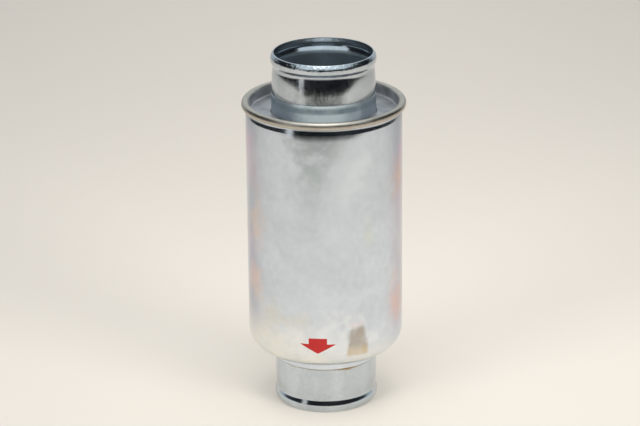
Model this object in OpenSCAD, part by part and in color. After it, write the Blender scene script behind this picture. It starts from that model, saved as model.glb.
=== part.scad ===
// In-line fuel filter: a drawn metal can with a hose tube at each end and a spring-held pleated element.
// Origin: middle of the outlet tube's lower end. +Z runs along the axis, from the outlet to the inlet.

/* [Canister] */
// Outside diameter of the canister
can_d = 57.6; // [57:0.1:64]
// Thickness of the canister's sheet
can_sheet = 0.5; // [0.4:0.05:0.6]
// Height of the canister's underside above the outlet's end
can_base_z = 21; // [19:0.5:26]
// Outside radius of the rounded shoulder
shoulder_r = 8; // [7:0.5:8]
// Length of the collar drawn down from the canister's base
collar_l = 3; // [2:0.25:5]
// How far the canister narrows below the seam
neck_in = 0.2; // [0.1:0.05:0.2]

/* [End cover and seam] */
// Height of the seam roll's centre line above the outlet's end
seam_z = 115.95; // [112:0.05:124]
// Outside radius of the seam roll's section
roll_r = 1.3; // [1.3:0.05:1.4]
// Thickness of the end cover's sheet
cover_sheet = 0.4; // [0.35:0.05:0.4]
// Depth of the recess inside the seam
recess_depth = 3.95; // [3:0.05:4.5]
// Length of the neck drawn down around the inlet tube
cover_neck_l = 3; // [2:0.25:3]

/* [Hose tubes] */
// Overall height, from the outlet's end to the inlet's end
overall_h = 135.5; // [133:0.5:145]
// Outside diameter of both hose tubes
tube_d = 38; // [36:0.5:38]
// Wall of both hose tubes
tube_wall = 1; // [0.8:0.1:1.2]
// Height of the hose bead above the tube
bead_h = 0.5; // [0.3:0.05:0.8]
// Length of the cylindrical land on the bead's crest
bead_land = 1.2; // [0.8:0.1:1.6]

/* [Flow arrow] */
// Width across the arrow's head
arrow_w = 13.4; // [8:0.1:16]
// Width of the arrow's shaft
arrow_shaft_w = 6.8; // [4:0.1:7.5]
// Height of the arrow's tail end
arrow_top_z = 34.3; // [33:0.1:40]
// Height of the widest part of the arrow's head
arrow_wing_z = 32; // [31:0.1:32.5]
// Height of the arrow's point
arrow_tip_z = 28.3; // [28:0.1:29.5]
// Turn of the arrow about the axis, from the front
arrow_turn = -6; // [-90:1:90]

/* [Filter element] */
// Number of pleats
pleats = 36; // [30:1:40]
// Outside radius of the pleats
media_ro = 24.4; // [23:0.1:24.4]
// Inside radius of the pleats
media_ri = 15; // [14.8:0.1:16]
// Rows of holes in the centre tube
hole_rows = 7; // [3:1:8]
// Holes round the centre tube in each row
hole_cols = 8; // [6:1:10]
// Diameter of the holes in the centre tube
hole_d = 5; // [3:0.5:6]
// Thickness of the gasket under the element
gasket_t = 2; // [1.5:0.25:3]

/* [Spring] */
// Wire diameter of the retaining spring
wire_d = 1.6; // [1.4:0.1:1.8]
// Mean radius of the retaining spring
spring_r = 21.4; // [21.2:0.1:21.6]
// Turns between the spring's closed ends
active_turns = 2; // [2:1:3]

/* [Hidden] */

round_fn = 96;
arc_steps = 8;
arrow_depth = 0.12;

can_ro = can_d / 2;
can_ri = can_ro - can_sheet;
tube_ro = tube_d / 2;
tube_ri = tube_ro - tube_wall;

// Clearances: solder gap round the tubes, gap between seamed sheets, and gap under the loose element
solder_gap = 0.1;
seam_gap = 0.1;
rest_gap = 0.02;

// Canister heights and corner radii
can_floor_z = can_base_z + can_sheet;
shoulder_z = can_base_z + shoulder_r;
shoulder_c = can_ro - shoulder_r;
collar_z = can_base_z - collar_l;
collar_fillet = 0.6;
collar_ro = tube_ro + solder_gap + can_sheet;

// The canister narrows along a long arc that ends just under the seam
neck_r = 42;
neck_angle = acos(1 - neck_in / neck_r);
neck_drop = 2.3;
neck_end_z = seam_z - neck_drop;
neck_start_z = neck_end_z - neck_r * sin(neck_angle);

// Seam roll: the cover's curl wraps the canister's hook
hook_ro = roll_r - cover_sheet - seam_gap;
hook_ri = hook_ro - can_sheet;
roll_c = can_ro - neck_in - can_sheet + hook_ro;
curl_end = -100;
hook_end = -20;
compound_end = -60;

// End cover
recess_r = roll_c - roll_r;
recess_z = seam_z + roll_r - recess_depth;
recess_fillet = 1;
cover_neck_fillet = 0.7;
cover_neck_z = recess_z - cover_neck_l;
cover_under_z = recess_z - cover_sheet;

// Hose tubes, measured from the tube's own mouth
mouth_in = 0.4;
mouth_r = tube_ro - mouth_in;
crest_r = tube_ro + bead_h;
crest_start = 1.7;
crest_end = crest_start + bead_land;
groove_depth = 0.35;
groove_at = crest_end + 2;
taper_end = 12.4;
mouth_clear = 0.05;
mouth_lip = 0.2;
tube_reach = 0.6;
inlet_tube_l = overall_h - cover_neck_z + tube_reach;
outlet_tube_l = can_floor_z;

// How far each braze stops short of the sheet it fills against, and its fillet under the collar
inlet_braze_drop = 0.2;
outlet_braze_drop = 0.4;
braze_fillet = 0.5;

// Element stack, from the gasket up
cap_sheet = 0.5;
cap_gap = 2.9;
cap_ro = can_ri - cap_gap;
cap_ri = 13.4;
cap_rim = 5;
cap_corner = 1;
core_ro = 14.5;
core_wall = 0.5;
pot_t = 3;
media_inset = 0.8;
core_inset = 0.4;
potting_lap = 1;
gasket_ri = tube_ri + 0.4;
gasket_ro = shoulder_c + 1.8;
gasket_bevel = 0.8;
gasket_z = can_floor_z + rest_gap;
low_cap_z = gasket_z + gasket_t;
low_pot_z = low_cap_z + cap_sheet;
high_cap_z = 98;
high_pot_z = high_cap_z - pot_t;
media_z0 = low_pot_z + media_inset;
media_z1 = high_cap_z - media_inset;
core_z0 = low_pot_z + core_inset;
core_z1 = high_cap_z - core_inset;
media_fold = 2.4;
clip_sheet = 0.4;
clip_depth = 4;
clip_tip_share = 1.6;
band_t = 0.8;
band_h = 1.6;
band_zs = [media_z0 + (media_z1 - media_z0) / 3, media_z0 + (media_z1 - media_z0) * 2 / 3];

// Guide ring on the element and seat under the cover
guide_z = high_cap_z + cap_sheet;
guide_sheet = 0.6;
guide_ri = 19.3;
guide_ro = 25;
guide_lip = 3;
finger_w = 5;
finger_h = 3;
finger_gap = 0.5;
finger_reach = can_ri - finger_gap;
fingers = 6;
seat_t = 0.6;
seat_ri = collar_ro + seam_gap;
seat_ro = 23.8;
seat_lip = 2.4;

// Spring: one closed turn at each end, open turns between
spring_z0 = guide_z + guide_sheet + rest_gap;
spring_z1 = cover_under_z - seat_t - rest_gap;
wire_sides = 8;
turn_steps = 24;
end_turns = 1;
total_turns = active_turns + 2 * end_turns;
open_pitch = (spring_z1 - spring_z0 - wire_d - 2 * end_turns * wire_d) / active_turns;

// Points on an arc about (x, z), from angle a0 to angle a1
function arc(x, z, r, a0, a1, steps = arc_steps) =
    [for (i = [0:steps]) let (a = a0 + (a1 - a0) * i / steps) [x + r * cos(a), z + r * sin(a)]];

// Points on a smooth S-shaped step from [r0, z0] to [r1, z1]
function step_curve(r0, z0, r1, z1) =
    [for (i = [0:arc_steps]) let (t = i / arc_steps)
        [r0 + (r1 - r0) * (1 - cos(180 * t)) / 2, z0 + (z1 - z0) * t]];

// Height of the spring wire's centre line after a number of turns
function spring_height(turns) =
    wire_d / 2
    + wire_d * min(turns, end_turns)
    + open_pitch * max(0, min(turns - end_turns, active_turns))
    + wire_d * max(0, turns - end_turns - active_turns);

module turned(points) {
    rotate_extrude($fn = round_fn) polygon(points);
}

module ring(ri, ro, z0, z1) {
    turned([[ri, z0], [ro, z0], [ro, z1], [ri, z1]]);
}

// Solid with the canister's outer shape up to the seam, drawn in by inset
module can_form(inset) {
    turned(concat(
        [[0, can_base_z + inset]],
        arc(shoulder_c, shoulder_z, shoulder_r - inset, -90, 0),
        [[can_ro - inset, neck_start_z], [0, neck_start_z]]));
}

module arrow_prism() {
    rotate([0, 0, arrow_turn]) translate([0, -can_ro / 2, 0]) rotate([90, 0, 0])
        linear_extrude(can_ro) polygon([
            [-arrow_shaft_w / 2, arrow_top_z], [arrow_shaft_w / 2, arrow_top_z],
            [arrow_shaft_w / 2, arrow_wing_z], [arrow_w / 2, arrow_wing_z],
            [0, arrow_tip_z],
            [-arrow_w / 2, arrow_wing_z], [-arrow_shaft_w / 2, arrow_wing_z]]);
}

// Deep-drawn can: collar, rounded shoulder, barrel, and the hook that is rolled into the seam
module canister() {
    color([0.74, 0.77, 0.76]) difference() {
        turned(concat(
            [[collar_ro, collar_z]],
            arc(collar_ro + collar_fillet, can_base_z - collar_fillet, collar_fillet, 180, 90),
            arc(shoulder_c, shoulder_z, shoulder_r, -90, 0),
            arc(can_ro - neck_r, neck_start_z, neck_r, 0, neck_angle),
            arc(roll_c, seam_z, hook_ri, 180, hook_end),
            arc(roll_c, seam_z, hook_ro, hook_end, 180),
            arc(can_ro - neck_r, neck_start_z, neck_r - can_sheet, neck_angle, 0),
            arc(shoulder_c, shoulder_z, shoulder_r - can_sheet, 0, -90),
            arc(collar_ro + collar_fillet, can_base_z - collar_fillet, collar_fillet + can_sheet, 90, 180),
            [[collar_ro - can_sheet, collar_z]]));
        difference() {
            arrow_prism();
            can_form(arrow_depth);
        }
    }
}

// Recessed cover whose rim is curled over the canister's hook
module end_cover() {
    neck_ri = tube_ro + solder_gap;
    neck_c = neck_ri + cover_neck_fillet;
    fillet_c = recess_r - recess_fillet;
    color([0.74, 0.71, 0.66]) turned(concat(
        [[neck_ri, cover_neck_z]],
        arc(neck_c, recess_z - cover_neck_fillet, cover_neck_fillet, 180, 90),
        arc(fillet_c, recess_z + recess_fillet, recess_fillet, -90, 0),
        arc(roll_c, seam_z, roll_r, 180, curl_end, 2 * arc_steps),
        arc(roll_c, seam_z, roll_r - cover_sheet, curl_end, 180, 2 * arc_steps),
        arc(fillet_c, recess_z + recess_fillet, recess_fillet + cover_sheet, 0, -90),
        arc(neck_c, recess_z - cover_neck_fillet, cover_neck_fillet - cover_sheet, 90, 180),
        [[neck_ri + cover_sheet, cover_neck_z]]));
}

// Sealing compound squeezed between the cover's curl and the canister's hook
module seam_compound() {
    color([0.25, 0.25, 0.24]) turned(concat(
        arc(roll_c, seam_z, roll_r - cover_sheet, 180, compound_end, 2 * arc_steps),
        arc(roll_c, seam_z, hook_ri, compound_end, hook_end, 2),
        arc(roll_c, seam_z, hook_ro, hook_end, 180)));
}

// Hose tube standing on its mouth: a rolled bead, a groove behind it, and a taper back to full size
module hose_tube(length) {
    turned(concat(
        [[tube_ri + mouth_clear, 0], [mouth_r, 0]],
        [for (i = [1:arc_steps]) let (a = 90 * i / arc_steps)
            [mouth_r + (crest_r - mouth_r) * sin(a), crest_start * (1 - cos(a))]],
        step_curve(crest_r, crest_end, tube_ro - groove_depth, groove_at),
        [for (i = [1:arc_steps]) let (t = i / arc_steps)
            [tube_ro - groove_depth * pow(1 - t, 2), groove_at + t * (taper_end - groove_at)]],
        [[tube_ro, length], [tube_ri, length]],
        step_curve(tube_ri, groove_at, tube_ri + bead_h, crest_end),
        step_curve(tube_ri + bead_h, crest_start, tube_ri + mouth_clear, mouth_lip)));
}

module inlet_tube() {
    color([0.66, 0.68, 0.68]) translate([0, 0, overall_h]) mirror([0, 0, 1]) hose_tube(inlet_tube_l);
}

module outlet_tube() {
    color([0.66, 0.68, 0.68]) hose_tube(outlet_tube_l);
}

// Braze that fills the gap between the cover's neck and the inlet tube
module inlet_braze() {
    neck_ri = tube_ro + solder_gap;
    color([0.45, 0.4, 0.3]) turned(concat(
        [[tube_ro, cover_neck_z], [neck_ri, cover_neck_z]],
        arc(neck_ri + cover_neck_fillet, recess_z - cover_neck_fillet, cover_neck_fillet, 180, 130),
        [[tube_ro, recess_z - inlet_braze_drop]]));
}

// Braze between the canister's collar and the outlet tube, with a fillet under the collar's edge
module outlet_braze() {
    color([0.52, 0.42, 0.28]) turned(concat(
        arc(tube_ro + braze_fillet, collar_z - braze_fillet, braze_fillet, 180, 90),
        [[tube_ro + solder_gap, collar_z]],
        arc(collar_ro + collar_fillet, can_base_z - collar_fillet, collar_fillet + can_sheet, 180, 150, 3),
        [[tube_ro, can_floor_z - outlet_braze_drop]]));
}

// Printed arrow, set flush in the canister's surface
module flow_arrow() {
    color([0.78, 0.12, 0.14]) intersection() {
        arrow_prism();
        difference() {
            can_form(0);
            can_form(arrow_depth);
        }
    }
}

// Pressed seat under the cover, with a lip round the spring's upper turn
module spring_seat() {
    color([0.6, 0.62, 0.63]) turned([
        [seat_ri, cover_under_z], [seat_ri, cover_under_z - seat_t],
        [seat_ro - seat_t, cover_under_z - seat_t], [seat_ro - seat_t, cover_under_z - seat_lip],
        [seat_ro, cover_under_z - seat_lip], [seat_ro, cover_under_z]]);
}

// Coil spring with closed ends, swept as one skin of wire_sides-sided rings
module retaining_spring() {
    last = total_turns * turn_steps;
    points = [for (i = [0:last], j = [0:wire_sides - 1])
        let (turn = 360 * i / turn_steps, side = 360 * j / wire_sides,
             r = spring_r + wire_d / 2 * cos(side))
        [r * cos(turn), r * sin(turn),
         spring_z0 + spring_height(i / turn_steps) + wire_d / 2 * sin(side)]];
    skin = [for (i = [0:last - 1], j = [0:wire_sides - 1])
        let (k = (j + 1) % wire_sides, a = i * wire_sides, b = a + wire_sides)
        [a + j, a + k, b + k, b + j]];
    first_end = [for (j = [wire_sides - 1:-1:0]) j];
    last_end = [for (j = [0:wire_sides - 1]) last * wire_sides + j];
    color([0.5, 0.52, 0.54]) polyhedron(points, concat(skin, [first_end, last_end]), convexity = 10);
}

// Ring on the inlet end cap: its lip centres the spring and its fingers centre the element
module element_guide() {
    lip_z = guide_z + guide_lip;
    color([0.62, 0.63, 0.62]) {
        turned([
            [guide_ri, guide_z], [guide_ro, guide_z], [guide_ro, guide_z + guide_sheet],
            [guide_ri + guide_sheet, guide_z + guide_sheet], [guide_ri + guide_sheet, lip_z],
            [guide_ri, lip_z]]);
        intersection() {
            turned([
                [guide_ro - guide_sheet, guide_z], [finger_reach, guide_z],
                [finger_reach, guide_z + finger_h], [finger_reach - guide_sheet, guide_z + finger_h],
                [finger_reach - guide_sheet, guide_z + guide_sheet],
                [guide_ro - guide_sheet, guide_z + guide_sheet]]);
            for (i = [0:fingers - 1]) rotate([0, 0, 360 * i / fingers])
                translate([0, -finger_w / 2, guide_z]) cube([can_ro, finger_w, finger_h]);
        }
    }
}

// Closed cap on the inlet side, with a stiffening step in its middle
module inlet_end_cap() {
    top = high_cap_z + cap_sheet;
    step_r = 10;
    step_h = 1.2;
    color([0.7, 0.72, 0.72]) turned(concat(
        [[0, high_cap_z + step_h], [step_r, high_cap_z + step_h], [step_r + 1, high_cap_z],
         [cap_ro - cap_sheet, high_cap_z], [cap_ro - cap_sheet, top - cap_rim], [cap_ro, top - cap_rim]],
        arc(cap_ro - cap_corner, top - cap_corner, cap_corner, 0, 90),
        [[step_r + 1 + cap_sheet, top], [step_r + cap_sheet, top + step_h], [0, top + step_h]]));
}

// Channel-shaped cap on the outlet side, open in its middle
module outlet_end_cap() {
    inner_rim = 4;
    color([0.7, 0.72, 0.72]) turned(concat(
        [[cap_ri, low_cap_z]],
        arc(cap_ro - cap_corner, low_cap_z + cap_corner, cap_corner, -90, 0),
        [[cap_ro, low_cap_z + cap_rim], [cap_ro - cap_sheet, low_cap_z + cap_rim],
         [cap_ro - cap_sheet, low_pot_z], [cap_ri + cap_sheet, low_pot_z],
         [cap_ri + cap_sheet, low_pot_z + inner_rim], [cap_ri, low_pot_z + inner_rim]]));
}

// Outline of one side of the folded sheet: folds alternate between two radii
module fold_outline(tip_r, root_r) {
    polygon([for (i = [0:2 * pleats - 1]) let (a = 180 * i / pleats, r = i % 2 == 0 ? tip_r : root_r)
        [r * cos(a), r * sin(a)]]);
}

module pleated_media() {
    color([0.86, 0.78, 0.6]) translate([0, 0, media_z0]) linear_extrude(media_z1 - media_z0) difference() {
        fold_outline(media_ro, media_ri + media_fold);
        fold_outline(media_ro - media_fold, media_ri);
    }
}

// Adhesive ring that bonds the pleats and the centre tube into an end cap
module potting(z0, z1, inner_r) {
    difference() {
        ring(inner_r, cap_ro - cap_sheet, z0, z1);
        pleated_media();
        center_wall();
    }
}

module inlet_potting() {
    color([0.85, 0.82, 0.7]) potting(high_pot_z, high_cap_z, core_ro - core_wall - potting_lap);
}

module outlet_potting() {
    color([0.85, 0.82, 0.7]) potting(low_pot_z, low_pot_z + pot_t, cap_ri + cap_sheet);
}

// Folded strip that joins the two ends of the pleated sheet, clamped over one pleat
module clip_section(grow) {
    tip = media_ro + grow * clip_tip_share;
    root = media_ro - clip_depth;
    half = (root * PI / pleats) * clip_depth / (media_ro - media_ri - media_fold) + grow;
    polygon([[root, -half], [tip, -grow / 2], [tip, grow / 2], [root, half]]);
}

module media_seam_clip() {
    play = 0.05;
    color([0.68, 0.69, 0.7]) translate([0, 0, low_pot_z + pot_t]) linear_extrude(high_pot_z - low_pot_z - pot_t)
        difference() {
            clip_section(play + clip_sheet);
            clip_section(play);
            translate([media_ro - clip_depth - 1, -media_ro / 2]) square([1, media_ro]);
        }
}

// Hot-melt beads laid round the pleats to hold their spacing
module pleat_bands() {
    color([0.93, 0.9, 0.8]) difference() {
        for (z = band_zs) translate([0, 0, z]) ring(media_ro, media_ro + band_t, -band_h / 2, band_h / 2);
        translate([0, 0, media_z0]) linear_extrude(media_z1 - media_z0) clip_section(2 * clip_sheet);
    }
}

module center_wall() {
    ring(core_ro - core_wall, core_ro, core_z0, core_z1);
}

// Perforated tube that carries the pleats from inside
module center_tube() {
    row_pitch = (core_z1 - core_z0 - 2 * cap_rim) / hole_rows;
    color([0.66, 0.68, 0.7]) difference() {
        center_wall();
        for (row = [0:hole_rows - 1], col = [0:hole_cols - 1])
            translate([0, 0, core_z0 + cap_rim + row_pitch * (row + 0.5)])
                rotate([0, 90, 360 * (col + (row % 2) / 2) / hole_cols])
                    cylinder(h = core_ro + 1, d = hole_d, $fn = 32);
    }
}

// Flat ring that seals the element to the canister's floor
module outlet_gasket() {
    color([0.12, 0.12, 0.12]) turned([
        [gasket_ri, gasket_z], [shoulder_c, gasket_z], [gasket_ro, gasket_z + gasket_bevel],
        [gasket_ro, low_cap_z], [gasket_ri, low_cap_z]]);
}

canister();
end_cover();
seam_compound();
inlet_tube();
inlet_braze();
outlet_tube();
outlet_braze();
flow_arrow();
spring_seat();
retaining_spring();
element_guide();
inlet_end_cap();
inlet_potting();
pleated_media();
media_seam_clip();
pleat_bands();
center_tube();
outlet_potting();
outlet_end_cap();
outlet_gasket();
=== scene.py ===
import bpy
import bmesh
import math
from mathutils import Matrix, Vector, noise


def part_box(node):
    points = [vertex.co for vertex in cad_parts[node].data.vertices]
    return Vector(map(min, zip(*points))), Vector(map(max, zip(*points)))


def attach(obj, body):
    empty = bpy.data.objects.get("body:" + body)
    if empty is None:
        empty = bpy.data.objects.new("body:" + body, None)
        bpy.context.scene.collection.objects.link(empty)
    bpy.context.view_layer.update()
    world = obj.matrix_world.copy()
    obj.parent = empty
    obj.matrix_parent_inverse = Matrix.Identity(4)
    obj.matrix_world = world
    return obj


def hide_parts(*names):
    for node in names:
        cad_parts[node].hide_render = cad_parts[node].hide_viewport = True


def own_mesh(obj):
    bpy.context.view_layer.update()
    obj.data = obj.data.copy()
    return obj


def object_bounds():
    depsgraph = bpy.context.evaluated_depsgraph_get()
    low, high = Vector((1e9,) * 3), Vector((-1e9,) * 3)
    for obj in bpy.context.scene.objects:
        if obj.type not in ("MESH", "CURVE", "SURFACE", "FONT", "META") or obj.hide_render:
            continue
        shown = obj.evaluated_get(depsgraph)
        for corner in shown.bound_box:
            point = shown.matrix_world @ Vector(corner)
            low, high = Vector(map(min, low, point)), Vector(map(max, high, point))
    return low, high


# In-line fuel filter: a zinc-plated can with a beaded hose tube at each end and a sprung element inside.
# Lengths are millimetres, apart from the camera's and the studio's, and everything built is in metres.

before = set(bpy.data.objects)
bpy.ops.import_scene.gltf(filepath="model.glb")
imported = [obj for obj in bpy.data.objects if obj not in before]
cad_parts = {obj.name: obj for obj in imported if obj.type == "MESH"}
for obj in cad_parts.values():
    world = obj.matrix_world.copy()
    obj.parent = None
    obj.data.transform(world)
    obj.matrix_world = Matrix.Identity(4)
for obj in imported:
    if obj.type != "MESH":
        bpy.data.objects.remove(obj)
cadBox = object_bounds()
mm = 0.001
print("frame loaded,", len(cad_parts), "nodes")

camera = {
    "lens": 147.9,
    "distance": 0.9775,   # metres
    "aside": -0.00175,    # metres
    "pitch": 20.2,        # degrees down
    "roll": -0.55,
    "aimShare": 0.538,    # of the filter's height
}


def placeCamera():
    data = bpy.data.cameras.new("camera")
    data.lens = camera["lens"]
    obj = bpy.data.objects.new("camera", data)
    bpy.context.collection.objects.link(obj)
    aim = Vector((camera["aside"], 0, cadBox[1].z * camera["aimShare"]))
    turn = Matrix.Rotation(math.radians(90 - camera["pitch"]), 4, "X")
    roll = Matrix.Rotation(math.radians(camera["roll"]), 4, "Z")
    back = Matrix.Translation((0, 0, camera["distance"]))
    obj.matrix_world = Matrix.Translation(aim) @ turn @ back @ roll
    bpy.context.scene.camera = obj


placeCamera()
print("camera placed")


# short ways to build shader nodes

def addNode(tree, kind, values=None, **settings):
    made = tree.nodes.new("ShaderNode" + kind)
    for key, value in settings.items():
        setattr(made, key, value)
    for key, value in (values or {}).items():
        made.inputs[key].default_value = value
    return made


def join(tree, source, target):
    tree.links.new(source, target)


def plug(tree, value, socket):
    if isinstance(value, bpy.types.NodeSocket):
        join(tree, value, socket)
    elif isinstance(value, (int, float)):
        socket.default_value = value
    else:
        socket.default_value = (*value, 1)


def newGroup(name, inputs, outputs):
    tree = bpy.data.node_groups.new(name, "ShaderNodeTree")
    for label, kind, value in inputs:
        socket = tree.interface.new_socket(name=label, in_out="INPUT", socket_type="NodeSocket" + kind)
        if value is not None:
            socket.default_value = value
    for label, kind in outputs:
        tree.interface.new_socket(name=label, in_out="OUTPUT", socket_type="NodeSocket" + kind)
    return tree, tree.nodes.new("NodeGroupInput"), tree.nodes.new("NodeGroupOutput")


def mixColor(tree, factor, first, second):
    made = addNode(tree, "Mix", data_type="RGBA")
    plug(tree, factor, made.inputs[0])
    plug(tree, first, made.inputs[6])
    plug(tree, second, made.inputs[7])
    return made.outputs[2]


def math2(tree, operation, first, second=0.0, clamp=False):
    made = addNode(tree, "Math", operation=operation, use_clamp=clamp)
    plug(tree, first, made.inputs[0])
    plug(tree, second, made.inputs[1])
    return made.outputs[0]


def multiply(tree, first, second):
    return math2(tree, "MULTIPLY", first, second)


def add(tree, first, second):
    return math2(tree, "ADD", first, second)


def remap(tree, value, low, high, toLow=0.0, toHigh=1.0, smooth=True):
    made = addNode(tree, "MapRange", {"From Min": low, "From Max": high, "To Min": toLow, "To Max": toHigh},
                   interpolation_type="SMOOTHSTEP" if smooth else "LINEAR")
    plug(tree, value, made.inputs["Value"])
    return made.outputs[0]


def noiseValue(tree, vector, scale, detail=3.0, rough=0.5):
    made = addNode(tree, "TexNoise", {"Scale": scale, "Detail": detail, "Roughness": rough})
    join(tree, vector, made.inputs["Vector"])
    return made.outputs["Fac"]


def patches(tree, vector, scale, detail, rough, low, high, near=0.3, smooth=True):
    # noise spread from low to high; a nearer edge gives harder patches
    return remap(tree, noiseValue(tree, vector, scale, detail, rough), near, 1 - near, low, high, smooth)


def stretch(tree, vector, scale):
    made = addNode(tree, "Mapping", {"Scale": scale})
    join(tree, vector, made.inputs["Vector"])
    return made.outputs["Vector"]


def vectorLength(tree, vector):
    made = addNode(tree, "VectorMath", operation="LENGTH")
    join(tree, vector, made.inputs[0])
    return made.outputs["Value"]


def axisDistance(tree, place):
    flat = addNode(tree, "VectorMath", operation="MULTIPLY")
    join(tree, place, flat.inputs[0])
    flat.inputs[1].default_value = (1, 1, 0)
    return vectorLength(tree, flat.outputs[0])


def splitPlace(tree, place):
    parts = addNode(tree, "SeparateXYZ")
    join(tree, place, parts.inputs[0])
    return parts.outputs


def between(tree, value, rise, fall):
    # 1 from the end of the rise to the start of the fall
    return multiply(tree, remap(tree, value, *(edge * mm for edge in rise)),
                    remap(tree, value, *(edge * mm for edge in fall), 1, 0))


def spot(tree, place, centre, size, ragged=0.35, inner=0.1):
    # soft-edged patch round a point
    put = addNode(tree, "Mapping", {"Location": [-c / r for c, r in zip(centre, size)],
                                    "Scale": [1 / (r * mm) for r in size]})
    join(tree, place, put.inputs["Vector"])
    drift = patches(tree, place, 170, 4, 0.6, -ragged, ragged, smooth=False)
    return remap(tree, add(tree, vectorLength(tree, put.outputs["Vector"]), drift), inner, 1.1, 1, 0)


plating = {
    "cloudTone": 0.6, "fineTone": 0.4, "streakTone": 0.3, "wear": 0.5, "fineHeight": 0.35,
    "drawn": (1, 1, 0.03),   # squeezes noise into marks along the axis
}


def makePlatingSkin():
    tree, use, give = newGroup(
        "platingSkin",
        [("Vector", "Vector", None), ("Light", "Color", (0.7, 0.7, 0.7, 1)),
         ("Dark", "Color", (0.6, 0.6, 0.6, 1)), ("Cloud Scale", "Float", 60), ("Fine Scale", "Float", 500),
         ("Streak Scale", "Float", 900), ("Streak", "Float", 0.3), ("Rough Low", "Float", 0.15),
         ("Rough High", "Float", 0.3)],
        [("Color", "Color"), ("Roughness", "Float"), ("Height", "Float")])
    vector = use.outputs["Vector"]
    cloudNode = addNode(tree, "TexNoise", {"Detail": 4, "Roughness": 0.6, "Distortion": 0.6})
    fineNode = addNode(tree, "TexNoise", {"Detail": 3, "Roughness": 0.6})
    streakNode = addNode(tree, "TexNoise", {"Detail": 2, "Roughness": 0.5})
    drawn = stretch(tree, vector, plating["drawn"])
    for made, scale, place in ((cloudNode, "Cloud Scale", vector), (fineNode, "Fine Scale", vector),
                               (streakNode, "Streak Scale", drawn)):
        join(tree, place, made.inputs["Vector"])
        join(tree, use.outputs[scale], made.inputs["Scale"])
    cloud = remap(tree, cloudNode.outputs["Fac"], 0.3, 0.7)
    fine = remap(tree, fineNode.outputs["Fac"], 0.3, 0.7)
    streak = multiply(tree, streakNode.outputs["Fac"], use.outputs["Streak"])
    tone = add(tree, multiply(tree, cloud, plating["cloudTone"]), multiply(tree, fine, plating["fineTone"]))
    tone = math2(tree, "ADD", tone, multiply(tree, streak, plating["streakTone"]), clamp=True)
    join(tree, mixColor(tree, tone, use.outputs["Dark"], use.outputs["Light"]), give.inputs["Color"])
    spread = math2(tree, "SUBTRACT", use.outputs["Rough High"], use.outputs["Rough Low"])
    wear = add(tree, multiply(tree, fine, plating["wear"]), multiply(tree, cloud, plating["wear"]))
    join(tree, add(tree, multiply(tree, wear, spread), use.outputs["Rough Low"]), give.inputs["Roughness"])
    join(tree, add(tree, multiply(tree, fine, plating["fineHeight"]), streak), give.inputs["Height"])
    return tree


platingSkin = makePlatingSkin()
print("shared effects made")


def newMaterial(name):
    made = bpy.data.materials.new(name)
    made.use_nodes = True
    tree = made.node_tree
    shader = tree.nodes["Principled BSDF"]
    place = addNode(tree, "TexCoord").outputs["Object"]
    return made, tree, shader, place


def platedMaterial(name, skin):
    made, tree, shader, place = newMaterial(name)
    effect = addNode(tree, "Group", skin, node_tree=platingSkin)
    join(tree, place, effect.inputs["Vector"])
    return made, tree, shader, place, effect.outputs


def colorInto(tree, shader, color, roughness):
    join(tree, color, shader.inputs["Base Color"])
    join(tree, roughness, shader.inputs["Roughness"])


def bumpNormal(tree, height, strength, depth=0.2):
    made = addNode(tree, "Bump", {"Strength": strength, "Distance": depth * mm})
    join(tree, height, made.inputs["Height"])
    return made


def bumpInto(tree, shader, height, strength, depth=0.2):
    join(tree, bumpNormal(tree, height, strength, depth).outputs["Normal"], shader.inputs["Normal"])


canFinish = {
    "skin": {"Light": (0.725, 0.785, 0.86, 1), "Dark": (0.605, 0.66, 0.725, 1), "Cloud Scale": 85,
             "Fine Scale": 420, "Streak Scale": 700, "Streak": 0.25, "Rough Low": 0.13, "Rough High": 0.20},
    "bump": 0.06,
    "cream": (0.89, 0.86, 0.765), "creamStrength": 0.8, "creamTop": 48.5, "creamFade": 16, "creamLean": 0.28,
    "creamDrift": 20, "creamFoot": (20.5, 23.5),
    "pink": (0.50, 0.40, 0.46), "lilac": (0.40, 0.43, 0.52), "edgeBlend": 0.35, "edgeFacing": (0.24, 0.6),
    "edgeFoot": (26, 42), "edgeTint": 0.8,
    "markRagged": 0.55, "markInner": -0.2,
}

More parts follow.
